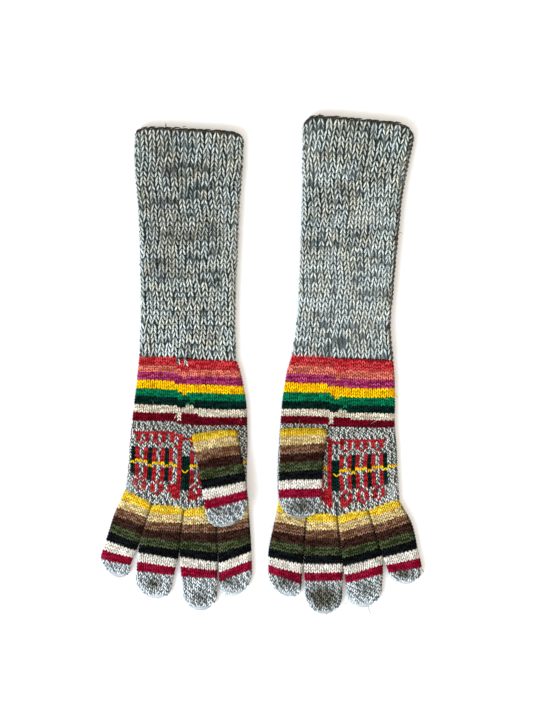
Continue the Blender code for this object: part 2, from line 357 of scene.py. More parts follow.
# Stitches of one piece, as arrays: where each is, its size, its material's number, the place on its
# yarn where it starts, and how much lighter it is than its neighbours.
Stitches = namedtuple("Stitches", "turn down width height yarn run light")
# How one leg of a stitch is made. inner and outer say how far from the stitch's middle it starts
# and ends, as a share of the stitch's width. overlap is its length as a share of the course's
# height. The rest is in millimetres: half its width and thickness, how deep its two ends and its
# middle lie, its length of yarn, and the yarn from where it starts to where the other leg does.
Leg = namedtuple("Leg", "inner outer overlap half_width half_thick end_depth middle_depth length "
                        "to_other")
# The arrays of a mesh before it is made.
Batch = namedtuple("Batch", "points corners sizes yarn strand soil along_uv leg_of_corner inside_uv")


def leg_places(rings):
    """How far along a leg its start, its rings and its end are, closer together at both ends."""
    return 0.5 - 0.5 * np.cos(math.pi * np.arange(rings + 2) / (rings + 1))


def leg_corners(sides, rings):
    """Faces of a leg: for each corner its point, its place along the leg and its place round it."""
    place = leg_places(rings)

    def corner(ring, side):
        point = 1 + (ring - 1) * sides + int(side) % sides
        point = 0 if ring == 0 else min(point, 1 + rings * sides)
        return point, place[ring], side / sides

    corners, sizes = [], []
    for side in range(sides):
        corners += [corner(0, side + 0.5), corner(1, side + 1), corner(1, side)]
        sizes.append(3)
        for ring in range(1, rings):
            corners += [corner(ring, side), corner(ring, side + 1)]
            corners += [corner(ring + 1, side + 1), corner(ring + 1, side)]
            sizes.append(4)
        corners += [corner(rings + 1, side + 0.5), corner(rings, side), corner(rings, side + 1)]
        sizes.append(3)
    return np.array(corners), np.array(sizes)


def unit(vectors):
    """The same directions with length one."""
    return vectors / np.maximum(np.linalg.norm(vectors, axis=-1, keepdims=True), 1e-9)


def spindles(centre, across, half_width, half_thick, sides):
    """Points of closed spindles along the given lines, wide along "across" and thick beside it."""
    tangent = unit(np.gradient(centre, axis=1))
    lateral = unit(across - tangent * np.sum(across * tangent, axis=-1, keepdims=True))
    normal = np.cross(tangent, lateral)
    swell = np.sqrt(np.sin(math.pi * leg_places(centre.shape[1] - 2)[1:-1]))[None, :, None, None]
    angles = (2 * math.pi * (np.arange(sides) / sides + 0.25))[None, None, :, None]
    rings = centre[:, 1:-1, None] + swell * (
        half_width * np.cos(angles) * lateral[:, 1:-1, None]
        + half_thick * np.sin(angles) * normal[:, 1:-1, None])
    points = np.concatenate(
        (centre[:, :1], rings.reshape(len(centre), -1, 3), centre[:, -1:]), axis=1)
    points[:, :, 2] = np.maximum(points[:, :, 2], 0.0)
    return points


def spindle_batch(points, sides, yarn, light, soil, start, length, mirrored=False):
    """The arrays of spindles whose points are given, one row for each."""
    corners, sizes = leg_corners(sides, (points.shape[1] - 2) // sides)
    count, each = points.shape[:2]
    along = start[:, None] + length * corners[None, :, 1]
    facing = 1 - corners[:, 2] if mirrored else corners[:, 2]
    return Batch(
        points.reshape(-1, 3),
        (corners[None, :, 0].astype(int) + each * np.arange(count)[:, None]).ravel(),
        np.tile(sizes, count),
        np.repeat(yarn, len(sizes)),
        np.repeat(light, each),
        soil,
        np.column_stack((along.ravel(), np.tile(facing, count))),
        np.repeat(np.arange(count), len(corners)),
        np.tile(corners[:, 1:], (count, 1)),
    )


# How far in the point lies that tells which way is out, and how full a leg's arch is.
PROBE_MM = 0.3
ARCH_POWER = 0.7


def between(first, last, share):
    """The value at a share of the way from the first to the last."""
    return first + (last - first) * share


def yarn_on(form, turn, down, inset, half_width, half_thick, sides):
    """Points of closed spindles of yarn that follow a piece's face."""
    centre = lie(form, turn, down, inset)
    outwards = centre - lie(form, turn, down, inset + PROBE_MM)
    across = np.cross(outwards, np.gradient(centre, axis=1))
    return spindles(centre, across, half_width, half_thick, sides)


def lay_legs(form, stitches, leg, sides, rings, soil_and_shade_at):
    """Both legs of each stitch, each a closed arched spindle of yarn."""
    place = leg_places(rings)
    arch = np.sin(math.pi * place) ** ARCH_POWER
    batches = []
    for hand in (-1, 1):
        away = between(leg.inner, leg.outer, place)
        turn = stitches.turn[:, None] + hand * stitches.width[:, None] * away
        down = stitches.down[:, None] + stitches.height[:, None] * leg.overlap * (place - 0.5)
        inset = between(leg.end_depth, leg.middle_depth, arch)
        points = yarn_on(form, turn, down, inset, leg.half_width, leg.half_thick, sides)
        start = stitches.run + (leg.to_other if hand > 0 else 0.0)
        batches.append(spindle_batch(points, sides, stitches.yarn, stitches.light,
                                     soil_and_shade_at(points.reshape(-1, 3)), start, leg.length, hand < 0))
    return batches


# A loose hair, in millimetres: its shortest length and the shape and scale of what chance adds, the
# same for how far it rises, how deep its root lies, and half its thickness at finest and coarsest.
HAIR_SHORTEST = 0.8
HAIR_LENGTH = (1.6, 1.1)
HAIR_RISE = (1.4, 0.4)
HAIR_ROOT = 0.5
HAIR_HALF = (0.04, 0.085)
# Its sides and rings, its curl in radians, how far from its stitch's middle it starts, how much of
# an arch it makes, its upright, how much lighter than its stitch it may be, and its yarn.
HAIR_SIDES = 3
HAIR_RINGS = 4
HAIR_CURL = 1.2
HAIR_ASIDE = 0.45
HAIR_ARCH = 0.75
HAIR_UPRIGHT = (0.3, 0.2, 1.0)
HAIR_LIGHT = 0.3
HAIR_YARN_MM = 2.0


def loose_hairs(form, stitches, many, soil_and_shade_at, rng):
    """Fine hairs that have worked loose, each a thin closed spindle in its own stitch's wool."""
    stitches = choose(stitches, rng.integers(0, len(stitches.turn), many))
    place = leg_places(HAIR_RINGS)
    heading = rng.uniform(0, 2 * math.pi, many)[:, None]
    heading = heading + rng.normal(0, HAIR_CURL, many)[:, None] * place
    length = (HAIR_SHORTEST + rng.gamma(*HAIR_LENGTH, many))[:, None] * place
    round_mm = girth_at(form, float(np.median(stitches.down)))
    turn = stitches.turn + stitches.width * rng.uniform(-HAIR_ASIDE, HAIR_ASIDE, many)
    turn = turn[:, None] + length * np.cos(heading) / round_mm
    down = stitches.down[:, None] + length * np.sin(heading)
    rise = rng.gamma(*HAIR_RISE, many)[:, None] * np.sin(math.pi * HAIR_ARCH * place)
    half = rng.uniform(*HAIR_HALF, many)[:, None, None, None]
    centre = lie(form, turn, down, HAIR_ROOT - rise)
    across = np.cross(np.gradient(centre, axis=1), HAIR_UPRIGHT)
    points = spindles(centre, across, half, half, HAIR_SIDES)
    light = stitches.light + rng.uniform(0.0, HAIR_LIGHT, many)
    return spindle_batch(points, HAIR_SIDES, stitches.yarn, light, soil_and_shade_at(points.reshape(-1, 3)),
                         stitches.run, HAIR_YARN_MM)


def join_batches(batches):
    """Several batches as one, with the point and leg numbers carried on."""
    points, legs = 0, 0
    shifted = []
    for batch in batches:
        shifted.append(batch._replace(corners=batch.corners + points,
                                      leg_of_corner=batch.leg_of_corner + legs))
        points += len(batch.points)
        legs += int(batch.leg_of_corner.max()) + 1
    return Batch(*(np.concatenate(arrays) for arrays in zip(*shifted)))


def knit_mesh(name, batch, bake_uv, materials):
    """A mesh object, all smooth, with its two UV maps and its strand and soil values."""
    mesh = bpy.data.meshes.new(name)
    mesh.vertices.add(len(batch.points))
    mesh.vertices.foreach_set("co", (batch.points * MM).astype(np.float32).ravel())
    mesh.loops.add(len(batch.corners))
    mesh.loops.foreach_set("vertex_index", batch.corners.astype(np.int32))
    mesh.polygons.add(len(batch.sizes))
    starts = np.concatenate(([0], np.cumsum(batch.sizes)[:-1]))
    mesh.polygons.foreach_set("loop_start", starts.astype(np.int32))
    mesh.polygons.foreach_set("material_index", batch.yarn.astype(np.int32))
    mesh.polygons.foreach_set("use_smooth", np.ones(len(batch.sizes), dtype=bool))
    for material in materials:
        mesh.materials.append(material)
    mesh.update(calc_edges=True)
    mesh.uv_layers.new(name="OFBake").data.foreach_set("uv", bake_uv.astype(np.float32).ravel())
    mesh.uv_layers.new(name="yarn").data.foreach_set("uv", batch.along_uv.astype(np.float32).ravel())
    for attribute, values in (("strand", batch.strand), ("soil", batch.soil)):
        layer = mesh.attributes.new(attribute, "FLOAT", "POINT")
        layer.data.foreach_set("value", values.astype(np.float32))
    mesh.validate()
    piece = bpy.data.objects.new(name, mesh)
    bpy.context.scene.collection.objects.link(piece)
    return piece


# How much of its cell is left free on each side of a leg.
CELL_MARGIN = 0.08


def bake_cells(batch):
    """The UVs that the export bakes to: a cell of its own for each leg, in an even grid."""
    grid = math.ceil(math.sqrt(batch.leg_of_corner.max() + 1))
    cell = np.column_stack((batch.leg_of_corner % grid, batch.leg_of_corner // grid))
    inside = CELL_MARGIN + (1 - 2 * CELL_MARGIN) * batch.inside_uv
    return (cell + inside) / grid


# Painted shade: how much darker the wool behind the legs, the back of the stitches, is made,
# for the shade in the gaps between them.
PAINTED_SHADE_BEHIND = -0.5
FABRIC_YARN_MM = 7.0


def knit_fabric(name, form, downs, yarns, cloth, around, soil_and_shade_at, materials):
    """The closed shell of cloth behind the stitches, its outer face below them and its inner face
    where the solid's is. downs are the lines of its faces, and yarns the material of each face."""
    closed = form.tip is not None
    lines = len(downs)
    here = np.arange(around)
    after = (here + 1) % around
    points = np.concatenate([
        lie(form, here[None, :] / around, downs[:, None], inset).reshape(-1, 3)
        for inset in (cloth.skin, cloth.wall)])
    place, line = np.meshgrid(here, np.arange(lines - 1))
    quads, uvs = [], []
    for face in (0, 1):
        ring = ((0, 0), (0, 1), (1, 1), (1, 0))[::-1 if face else 1]
        quads.append(np.stack([
            (face * lines + line + below) * around + (place + aside) % around
            for aside, below in ring], axis=-1).reshape(-1, 4))
        uvs.append(np.stack([
            np.stack(((place + aside) / around, (face + (line + below) / (lines - 1)) / 2), axis=-1)
            for aside, below in ring], axis=-2).reshape(-1, 4, 2))
    last, inside = (lines - 1) * around, lines * around
    rims = [(inside, 0)] if closed else [(inside, 0), (last, inside + last)]
    for a, b in rims:
        quads.append(np.column_stack((a + here, b + here, b + after, a + after)))
        uvs.append(np.zeros((around, 4, 2)))
    corners = np.concatenate(quads).ravel()
    sizes = np.full(len(corners) // 4, 4)
    uv = np.concatenate(uvs).reshape(-1, 2)
    yarn = np.concatenate(yarns * 2 + [yarns[-1 if b else 0] for a, b in rims])
    if closed:
        for first, order in ((last, 1), (inside + last, -1)):
            corners = np.concatenate((corners, (first + here)[::order]))
            sizes = np.append(sizes, around)
            uv = np.concatenate((uv, np.zeros((around, 2))))
            yarn = np.append(yarn, yarns[-1][0])
    # The shell's wool is darkened with painted shade, for the gaps between the legs.
    batch = Batch(points, corners, sizes, yarn, np.full(len(points), PAINTED_SHADE_BEHIND), soil_and_shade_at(points),
                  uv * (around * FABRIC_YARN_MM, 1.0), None, None)
    return knit_mesh(name, batch, uv, materials)


# Worsted ragg and plain wool, spun from two plies: the twist shows as slanting strokes, the fibres
# as fine streaks along them, and the whole is matt. The values are the fibres to a turn and their
# length, how deep the groove between the plies is and how soft their edge, how large a yellowed
# patch is, and the pale bluish colour that worn wool turns to, which on the fingertips' lower left
# is also painted highlight from the cool window.
FIBRES_PER_TURN = 9.0
FIBRE_LENGTH_MM = 5.0
PLY_GROOVE_MM = 0.25
PLY_EDGE = 0.25
PATCH_MM = 14.0
WORN_AND_LIT_WOOL = "#e4f1f8"


def spun_wool(name, first_ply, second_ply, contrast=0.5, twist_mm=5.0, edge=0.0, dirt_and_shade="#6f6853",
              dirt_and_shade_blend="MULTIPLY", yellowed=None):
    """A two-ply wool yarn: how strong its fibres' streaks are, and its twist in millimetres for
    one whole turn. An edge below zero lets the second ply show more than the first. A soil
    value below zero is wool worn pale, on the fingertips also painted highlight; above zero it mixes
    in dirt_and_shade, which is dirt, and painted shade at the right folds and the mouth. yellowed is
    the first ply's colour in yellowed patches."""
    material, tree = new_material(name)
    yarn = add_node(tree, "UVMap", uv_map="yarn")
    way = add_node(tree, "SeparateXYZ", {0: yarn.outputs["UV"]})
    strand = add_node(tree, "Attribute", attribute_name="strand")
    soil = add_node(tree, "Attribute", attribute_name="soil")
    twist = add_node(tree, "Math", {
        0: way.outputs["X"], 1: 1.0 / twist_mm, 2: way.outputs["Y"],
    }, operation="MULTIPLY_ADD")
    angle = add_node(tree, "Math", {0: twist, 1: 2 * math.pi}, operation="MULTIPLY")
    wave = add_node(tree, "Math", {0: angle}, operation="SINE")
    ply = add_node(tree, "MapRange", {
        "Value": wave, "From Min": edge - PLY_EDGE, "From Max": edge + PLY_EDGE,
    }, interpolation_type="SMOOTHSTEP")
    groove = add_node(tree, "Math", {0: wave}, operation="ABSOLUTE")
    fibre_run = add_node(tree, "Math", {0: way.outputs["X"], 1: 1.0 / FIBRE_LENGTH_MM},
                         operation="MULTIPLY")
    fibre_turn = add_node(tree, "Math", {0: twist, 1: FIBRES_PER_TURN}, operation="MULTIPLY")
    fibre_place = add_node(tree, "CombineXYZ", {
        "X": fibre_run, "Y": fibre_turn, "Z": strand.outputs["Fac"],
    })
    fibres = add_node(tree, "TexNoise", {
        "Vector": fibre_place, "Scale": 1.0, "Detail": 3.0, "Roughness": 0.7,
    })
    first = linear(first_ply)
    if yellowed:
        place = add_node(tree, "TexCoord")
        patches = add_node(tree, "TexNoise", {
            "Vector": place.outputs["Object"], "Scale": 1.0 / (PATCH_MM * MM), "Detail": 2.0,
        })
        patch = add_node(tree, "MapRange", {
            "Value": patches.outputs["Fac"], "From Min": 0.42, "From Max": 0.6,
        })
        first = add_node(tree, "Mix", {
            0: patch, 6: linear(first_ply), 7: linear(yellowed),
        }, data_type="RGBA").outputs[2]
    plies = add_node(tree, "Mix", {0: ply, 6: first, 7: linear(second_ply)}, data_type="RGBA")
    streak = add_node(tree, "MapRange", {
        "Value": fibres.outputs["Fac"], "From Min": 0.3, "From Max": 0.7,
        "To Min": 1.0 - contrast, "To Max": 1.0 + contrast,
    })
    level = add_node(tree, "Math", {0: streak, 1: strand.outputs["Fac"]}, operation="ADD")
    shaded = add_node(tree, "HueSaturation", {"Value": level, "Color": plies.outputs[2]})
    # Below zero the value turns the wool pale: wear, and painted highlight on the fingertips.
    wear_and_highlight = add_node(tree, "Math", {0: soil.outputs["Fac"], 1: -1.0}, operation="MULTIPLY")
    worn_and_lit = add_node(tree, "Mix", {
        0: wear_and_highlight, 6: shaded, 7: linear(WORN_AND_LIT_WOOL),
    }, data_type="RGBA")
    soiled_and_shaded = add_node(tree, "Mix", {
        0: soil.outputs["Fac"], 6: worn_and_lit.outputs[2], 7: linear(dirt_and_shade),
    }, data_type="RGBA", blend_type=dirt_and_shade_blend)
    relief = add_node(tree, "Math", {0: fibres.outputs["Fac"], 1: 0.5, 2: groove},
                      operation="MULTIPLY_ADD")
    bump = add_node(tree, "Bump", {
        "Height": relief, "Distance": PLY_GROOVE_MM * MM, "Strength": 0.7,
    })
    wool = add_node(tree, "BsdfPrincipled", {
        "Base Color": soiled_and_shaded.outputs[2],
        "Normal": bump,
        "Roughness": 0.9,
        "IOR": 1.55,
        "Specular IOR Level": 0.03,
        "Sheen Weight": 0.02,
        "Sheen Roughness": 0.5,
    })
    add_node(tree, "OutputMaterial", {"Surface": wool})
    return material


def spin(yarns):
    """Several wools by name, each from the colours of its plies and what else differs."""
    return {name: spun_wool(name, *made) for name, made in yarns.items()}


# Rust and mud that was worn into the wool, and, with a strength below zero, wool worn pale,
# which on the fingertips is also painted highlight: a soft spot in the glove's own frame.
Spot = namedtuple("Spot", "x down half_width half_length strength")
SPOTS = {
    "left": (
        Spot(0, 50, 90, 90, 0.11),
        Spot(-5, 98, 27, 5.5, 0.3),
        Spot(-23, 97, 8, 4.5, 0.3),
        Spot(-20, 122, 15, 11, 0.26),
        Spot(-30, 20, 10, 18, 0.15),
        Spot(-24, 134, 13, 9, 0.25),
        Spot(-6, 44, 15, 12, 0.14),
        Spot(26, 93, 7, 10, 0.22),
        Spot(31, 66, 10, 7, -0.16),
        Spot(-22, 88, 11, 5, -0.2),
    ),
    "right": (
        Spot(-7, 63, 5, 5, 0.6),
        Spot(-2, 70, 7, 3, 0.35),
        Spot(13, 106, 9, 6, 0.42),
        Spot(15, 24, 10, 14, 0.16),
        Spot(-20, 72, 14, 10, 0.14),
        Spot(30, 50, 8, 6, 0.14),
        Spot(17, 93, 11, 7, -0.26),
        Spot(-2, 52, 8, 5, -0.2),
        Spot(-34, 42, 8, 26, -0.12),
        Spot(0, 170, 80, 55, -0.11),
    ),
}
# How far the painted shade reaches from the fold on the right, which faces away from the window,
# and the most that wool is made paler by wear and painted highlight and darker by dirt and painted
# shade.
FOLD_SHADE_MM = 2.3
MOST_WORN_AND_LIT = -0.85
MOST_SOILED_AND_SHADED = 0.92


def soil_and_shade_map(side, spots, lines=(), grime=0.6):
    """How soiled a glove is at given points of the world, from 0 to 1, with painted shade added along
    the right fold. Below zero it is worn pale, on the fingertips also painted highlight. lines are
    those of a piece whose right fold gets painted shade, and grime is how dark that shade is."""
    origin = glove_origin(side)

    def soil_and_shade_at(points):
        x = points[:, 0] - origin[0]
        down = origin[1] - points[:, 1]
        total = np.zeros(len(points))
        # Painted shade along the right fold, which faces away from the window.
        if lines:
            fold = np.interp(down, [line.right_down for line in lines], [line.right for line in lines])
            total = grime * np.exp(-((x - fold) / FOLD_SHADE_MM) ** 2)
        for spot in spots:
            far = ((x - spot.x) / spot.half_width) ** 2 + ((down - spot.down) / spot.half_length) ** 2
            total = total + spot.strength * np.exp(-far)
        return np.clip(total, MOST_WORN_AND_LIT, MOST_SOILED_AND_SHADED)

    return soil_and_shade_at


# How far a round's end lies below its start, in courses, and how a stitch beside the jog is pulled:
# how far on either side, and over how many stitches.
JOG_STEP = 1.4
JOG_PULL, JOG_PULL_STITCHES = 0.45, 3
JOG_GIVE, JOG_GIVE_STITCHES = 0.25, 2
# A wave in hand knitting: how far it goes, in stitches or courses, and the courses and the stitches
# to a radian of it.
Wave = namedtuple("Wave", "size courses stitches")
SWERVE = Wave(0.16, 2.7, math.inf)
RIPPLE = Wave(0.1, 1.3, 2.1)
SAG = Wave(0.12, 4.1, 2.3)
SLOW_SLIPS = (Wave(1.0, math.inf, 4.7), Wave(1.0, math.inf, 17.3))
# How unlike its neighbours one stitch is, in stitches or courses.
LOOSE = 0.05
# Murky runs, where the ragg shows more of its dark ply: how chance spreads them, how many stitches
# each takes, from what value on they show, and how much darker they are at most.
MURK_SPREAD = 0.58
MURK_STITCHES = 3
MURK_FROM = 0.7
MURK_DARK = 0.34


def stray(wave, course, stitch, phase):
    """How far a wave takes a stitch."""
    return wave.size * np.sin(course / wave.courses + stitch / wave.stitches + phase)


def knit_rows(rng, downs, heights, counts, yarn_of, jog=None, yarn_mm=10.0, start_mm=0.0, slip=1.0,
              drift=2.0, murk_slip=0.0, light=0.13, sway=0.5):
    """The stitches of every course of a piece. Each course joins the next after one round, so
    they climb from the jog round to the jog, when its place is given, by a course and some slack.
    A stitch takes yarn_mm of yarn, whose twist starts at start_mm. slip and drift are how far, in
    millimetres, it is out of step by chance and slowly, and murk_slip how far more in the murky
    runs, which only the ragg cuffs have. light is how unlike in tone two stitches are, and sway
    how much of the waves round a course there is."""
    rows = []
    phase = rng.uniform(0, 2 * math.pi, 3)
    for course, (down, height, count) in enumerate(zip(downs, heights, counts)):
        number = np.arange(count)
        turn = (number + 0.5) / count
        climb = 0.0
        if jog is not None:
            past = (turn - jog + 0.5) % 1.0 - 0.5
            pull = np.where(past > 0, JOG_PULL * np.exp(-past * count / JOG_PULL_STITCHES),
                            -JOG_GIVE * np.exp(past * count / JOG_GIVE_STITCHES))
            climb = (JOG_STEP * ((turn - jog) % 1.0) + pull) * height
        swerve = stray(SWERVE, course, number, phase[0]) + stray(RIPPLE, course, number, phase[1])
        sag = stray(SAG, course, number, phase[2])
        done = course * count + number
        swing = sum(stray(wave, 0, done, at) for wave, at in zip(SLOW_SLIPS, phase))
        astray = drift * swing + rng.normal(0.0, slip, count)
        murky = np.zeros(count)
        if murk_slip:
            chance = rng.normal(0.0, MURK_SPREAD, count)
            murky = np.convolve(chance, np.ones(MURK_STITCHES), "same")
            murky = np.clip(murky - MURK_FROM, 0.0, 1.0)
        rows.append((
            turn + (sway * swerve + rng.normal(0.0, LOOSE, count)) / count,
            down - climb + (sag + rng.normal(0.0, LOOSE, count)) * height,
            np.full(count, 1.0 / count),
            height * (1 + rng.normal(0.0, LOOSE, count)),
            np.array([yarn_of(course, place, count) for place in number]),
            start_mm + done * yarn_mm + astray + murk_slip * murky,
            rng.normal(0.0, light, count) - MURK_DARK * murky,
        ))
    return Stitches(*(np.concatenate(column) for column in zip(*rows)))


def choose(stitches, wanted):
    """Some of the stitches."""
    return Stitches(*(column[wanted] for column in stitches))


def wool_behind(rows, edges, around):
    """The wool of each face of a shell, line by line: that of the stitch in front of it."""
    turn = (np.arange(around) + 0.5) / around
    wool = []
    for middle in (edges[:-1] + edges[1:]) / 2:
        aside = (turn[:, None] - rows.turn + 0.5) % 1.0 - 0.5
        far = (aside / rows.width) ** 2 + ((middle - rows.down) / rows.height) ** 2
        wool.append(rows.yarn[np.argmin(far, axis=1)])
    return wool


# How many points round a line its girth is measured through.
GIRTH_STEPS = 400


def girth_at(form, down):
    """Length round a piece's outer face at one line, in millimetres."""
    turn = np.linspace(0, 1, GIRTH_STEPS)
    return float(np.linalg.norm(np.diff(lie(form, turn, down, 0.0), axis=0), axis=1).sum())


# The two strands of each link in the chain that closes the mouth, one on the face and one on the
# edge: how far down and how deep each starts and ends, in millimetres.
Strand = namedtuple("Strand", "first_down last_down first_inset last_inset")
MOUTH_STRANDS = (Strand(2.7, 1.5, 0.4, 0.2), Strand(1.3, 0.2, 1.7, 1.1))
# How the chain is made: a link's length and how unevenly links lie, in stitches; how far they bulge
# and how unevenly, half their width and thickness, their yarn and what lies between two of them,
# in millimetres; and how dark they are, which is painted shade for the rolled mouth in shadow, and
# how grimy, which is partly grime and partly painted shade.
MOUTH_SIDES, MOUTH_RINGS = 5, 3
MOUTH_LINK = 1.3
MOUTH_UNEVEN = 0.08
MOUTH_BULGE, MOUTH_BULGE_UNEVEN = 0.3, 0.25
MOUTH_HALF_WIDTH, MOUTH_HALF_THICK = 0.7, 0.85
MOUTH_YARN_MM, MOUTH_STEP_MM, MOUTH_STRAND_STEP_MM = 6.0, 9.0, 4.0
MOUTH_PAINTED_SHADE, MOUTH_LIGHT_UNEVEN = -0.65, 0.12
MOUTH_SOIL_AND_SHADE = 0.82


def bound_mouth(form, count, soil_and_shade_at, rng):
    """The chain of links that closes the mouth."""
    place = leg_places(MOUTH_RINGS)
    number = np.arange(count)
    batches = []
    for order, strand in enumerate(MOUTH_STRANDS):
        middle = (number + rng.normal(0.5, MOUTH_UNEVEN, count))[:, None] / count
        turn = middle + (MOUTH_LINK * place - MOUTH_LINK / 2) / count
        bulge = rng.normal(MOUTH_BULGE, MOUTH_BULGE_UNEVEN, count)[:, None] * np.sin(math.pi * place)
        down = between(strand.first_down, strand.last_down, place) - bulge
        inset = between(strand.first_inset, strand.last_inset, place)
        points = yarn_on(form, turn, down, inset, MOUTH_HALF_WIDTH, MOUTH_HALF_THICK, MOUTH_SIDES)
        # The links' soil is raised with painted shade, as the rolled mouth lies in shadow.
        soil = np.maximum(soil_and_shade_at(points.reshape(-1, 3)), MOUTH_SOIL_AND_SHADE)
        start = MOUTH_STEP_MM * number + MOUTH_STRAND_STEP_MM * order
        light = rng.normal(MOUTH_PAINTED_SHADE, MOUTH_LIGHT_UNEVEN, count)
        batches.append(spindle_batch(points, MOUTH_SIDES, np.zeros(count, int), light, soil, start,
                                     MOUTH_YARN_MM))
    return batches


# How a piece's cloth is made: its legs, how deep its inner face and the shell's outer face lie in
# millimetres, the hairs to a stitch, and the sides of a leg on the upper side and underneath.
Cloth = namedtuple("Cloth", "leg wall skin hairs upper_sides under_sides")
UPPER_RINGS, UNDER_RINGS = 3, 2
# How far round past a fold a stitch still counts as on the upper side.
ROUND_FOLD = 0.02
# How many lines along a piece its girth is measured at.
CUT_LINES = 25


def knit_piece(node, form, rows, cloth, edges, around, length, soil_and_shade_at, yarns, rng, chain=(),
               hidden_below=False):
    """One piece: its stitches, finer on the upper side than underneath, and the shell of cloth
    behind them, which replaces the solid and has the flat cut. edges are the lines of the shell's
    faces, around is how many faces a line has, and chain is the mouth's. A piece that is hidden
    below lies on another there and has no stitches on that side."""
    above = (rows.turn > -ROUND_FOLD) & (rows.turn < 0.5 + ROUND_FOLD)
    upper = choose(rows, above)
    batches = lay_legs(form, upper, cloth.leg, cloth.upper_sides, UPPER_RINGS, soil_and_shade_at)
    batches.append(loose_hairs(form, upper, int(cloth.hairs * len(upper.turn)), soil_and_shade_at, rng))
    batches += chain
    if not hidden_below:
        under = choose(rows, ~above)
        batches += lay_legs(form, under, cloth.leg, cloth.under_sides, UNDER_RINGS, soil_and_shade_at)
    batch = join_batches(batches)
    stitches = knit_mesh(node + "_stitches", batch, bake_cells(batch), yarns.values())
    fabric = knit_fabric(node + "_fabric", form, edges, wool_behind(rows, edges, around), cloth,
                         around, soil_and_shade_at, yarns.values())
    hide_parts(node)
    for piece in (fabric, stitches):
        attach(piece, "root")
    girths = [girth_at(form, down) * MM for down in np.linspace(0.0, length, CUT_LINES)]


CUFF_COUNT = {"left": 29, "right": 30}
CUFF_COURSES = 48
# How tall the first course is against the mean, as the courses grow towards the wrist, how far down
# they start, and how far in the shell starts and ends.
CUFF_FIRST_HEIGHT = 0.94
CUFF_FIRST_DOWN = 2.2
CUFF_RIM_MM = 0.6
CUFF_CLOTH = Cloth(Leg(0.11, 0.36, 1.5, 1.12, 1.15, 2.1, 0.3, 6.5, 20.0), 3.0, 1.9, 0.8, 6, 5)
CUFF_SEED = 11
# How dark the painted shade on the right fold is.
CUFF_FOLD_SHADE = {"left": 0.5, "right": 1.4}

# Its dirt_and_shade colour, #3f382d, is for stains and for the painted shade at the right fold and the
# mouth.
CUFF_YARNS = spin({
    "two_ply_ragg_wool": ("#c6d3d4", "#505e62", 0.7, 20.0, -0.63, "#3f382d", "MIX", "#c9cdc3"),
})

for number, side in enumerate(("left", "right")):
    form = make_form(side, CUFF_LINES[side])
    soil_and_shade_at = soil_and_shade_map(side, SPOTS[side], CUFF_LINES[side], CUFF_FOLD_SHADE[side])
    rng = np.random.default_rng(CUFF_SEED + number)
    count = CUFF_COUNT[side]
    shares = np.linspace(CUFF_FIRST_HEIGHT, 2 - CUFF_FIRST_HEIGHT, CUFF_COURSES)
    heights = shares * (form.length - CUFF_FIRST_DOWN) / shares.sum()
    downs = CUFF_FIRST_DOWN + np.cumsum(heights) - heights / 2
    rows = knit_rows(rng, downs, heights, [count] * CUFF_COURSES, lambda *place: 0,
                     yarn_mm=20.0, start_mm=11.5, slip=1.5, drift=1.3, murk_slip=2.8, light=0.12,
                     sway=1.0)
    edges = np.linspace(CUFF_RIM_MM, form.length - CUFF_RIM_MM, CUFF_COURSES + 1)
    knit_piece(side + "_cuff", form, rows, CUFF_CLOTH, edges, 2 * count, form.length,
               soil_and_shade_at, CUFF_YARNS, rng, chain=bound_mouth(form, count, soil_and_shade_at, rng))

# The hands
# Each is knitted on from its cuff in finer two-ply wool: eight stripes of three courses round the
# wrist, then palm and back in grey ragg, with a charted pattern whose spare yarns run behind.

# The line at the end of the hand where the fingers are picked up: x and down between two fingers
# and at both folds.
FINGER_LINE = {
    "left": ((-57, 327.5), (-32.5, 341), (-3, 343.5), (25, 343), (54.5, 337.5)),
    "right": ((-64, 347.5), (-38, 357.5), (-11, 359.3), (17, 353.5), (45, 345.5)),
}
HAND_LINES = {
    "left": (
        Across(-43.5, 207, 43.5, 210, 6.6),
        Across(-44.5, 215, 46.5, 218.5, 6.4),
        Across(-46, 230, 50, 233.5, 6.4),
        Across(-48, 247, 52.5, 250, 6.4),
        Across(-50.5, 268, 53.5, 271, 6.4),
        Across(-52.5, 289, 53.5, 290, 6.4),
        Across(-53.5, 304, 53, 307, 6.4),
        Across(-55, 317, 53, 323, 6.4),
        Across(*FINGER_LINE["left"][0], *FINGER_LINE["left"][-1], 6.4),
    ),
    "right": (
        Across(-51.5, 215, 39.5, 219, 6.6),
        Across(-55.5, 227, 40.5, 230.5, 6.4),
        Across(-58, 241, 41, 245, 6.4),
        Across(-60.5, 257.5, 41, 260.5, 6.4),
        Across(-62, 278, 41, 280, 6.4),
        Across(-63.5, 298, 42.5, 297, 6.4),
        Across(-64.5, 317, 43, 313, 6.4),
        Across(-64.5, 333, 44, 329.5, 6.4),
        Across(*FINGER_LINE["right"][0], *FINGER_LINE["right"][-1], 6.4),
    ),
}

# The stripes: their courses, how tall each is, the stitches in a course, and how far down they start.
COURSES_PER_STRIPE = 3
STRIPED_COURSES = 8 * COURSES_PER_STRIPE
STRIPE_MM = {
    "left": (8.1, 6.1, 7.6, 7.5, 6.4, 7.6, 7, 7.5),
    "right": (8.8, 7.6, 8.1, 8.5, 7.2, 6.8, 6.3, 6.7),
}
STRIPE_COUNT = 56
FIRST_STRIPE_MM = {"left": 2.3, "right": 2.7}

# The chart, one line for each course: g ground, r red, d dark green, y gold. Its four columns
# repeat outwards, mirrored, from a pair of first columns on the palm.
CHART = ("rrrr", "grgr", "grgr", "grgr", "ggrg", "gggg", "drgr", "drgr", "drgr", "drgr", "drgr",
         "dyyy", "yggg", "drgr", "drgr", "drgr", "drgr", "drgr", "ggrg", "grgr", "grgr", "grgr",
         "ggrg")
